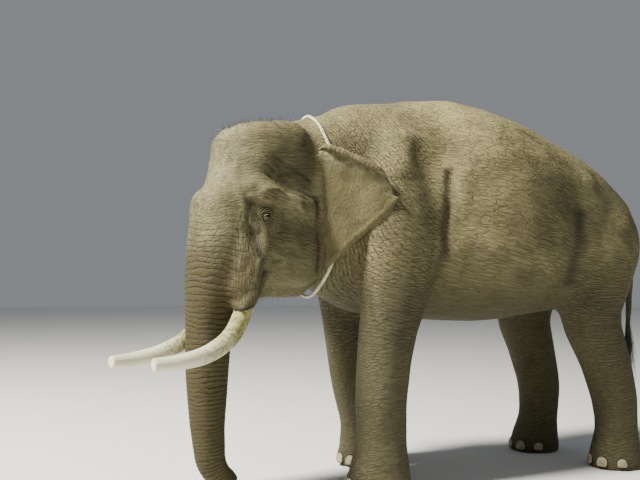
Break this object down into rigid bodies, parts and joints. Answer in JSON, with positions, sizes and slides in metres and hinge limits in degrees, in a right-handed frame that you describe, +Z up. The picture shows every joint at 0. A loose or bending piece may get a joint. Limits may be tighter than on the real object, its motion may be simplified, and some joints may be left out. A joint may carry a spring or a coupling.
{
  "type": "asian elephant bull model",
  "caption": "Life-size still model of a standing Asian elephant bull, head lowered and turned left, with short sawn tusks and a rope round its neck.",
  "frame": {"origin": "on the floor, at the middle of the whole animal's bounding box", "axes": "-X the way the body faces, -Y its left side, +Z up"},
  "size_m": [4.3511, 1.4799, 2.7921],
  "materials": {
    "skin": "dry wrinkled hide",
    "ivory": "worn satin ivory",
    "eye": "wet gloss",
    "nail": "dull horn",
    "hair": "coarse dark hair",
    "rope": "twisted pale cord"
  },
  "bodies": {
    "root": {"torso": "skin", "neck": "skin", "head": "skin", "jaw": "skin", "trunk_upper": "skin", "trunk_middle": "skin", "trunk_lower": "skin", "trunk_tip": "skin", "ear_left": "skin", "ear_right": "skin", "tail": "skin", "foreleg_left": "skin", "foreleg_right": "skin", "hindleg_left": "skin", "hindleg_right": "skin", "tusk_left": "ivory", "eye_left": "eye", "nail_foreleg_left_1": "nail", "nail_foreleg_left_2": "nail", "nail_foreleg_left_3": "nail", "nail_foreleg_left_4": "nail", "nail_foreleg_left_5": "nail", "nail_hindleg_left_1": "nail", "nail_hindleg_left_2": "nail", "nail_hindleg_left_3": "nail", "nail_hindleg_left_4": "nail", "tusk_right": "ivory", "eye_right": "eye", "nail_foreleg_right_1": "nail", "nail_foreleg_right_2": "nail", "nail_foreleg_right_3": "nail", "nail_foreleg_right_4": "nail", "nail_foreleg_right_5": "nail", "nail_hindleg_right_1": "nail", "nail_hindleg_right_2": "nail", "nail_hindleg_right_3": "nail", "nail_hindleg_right_4": "nail", "tail_tuft": "hair", "neck_rope": "rope"}
  },
  "joints": []
}
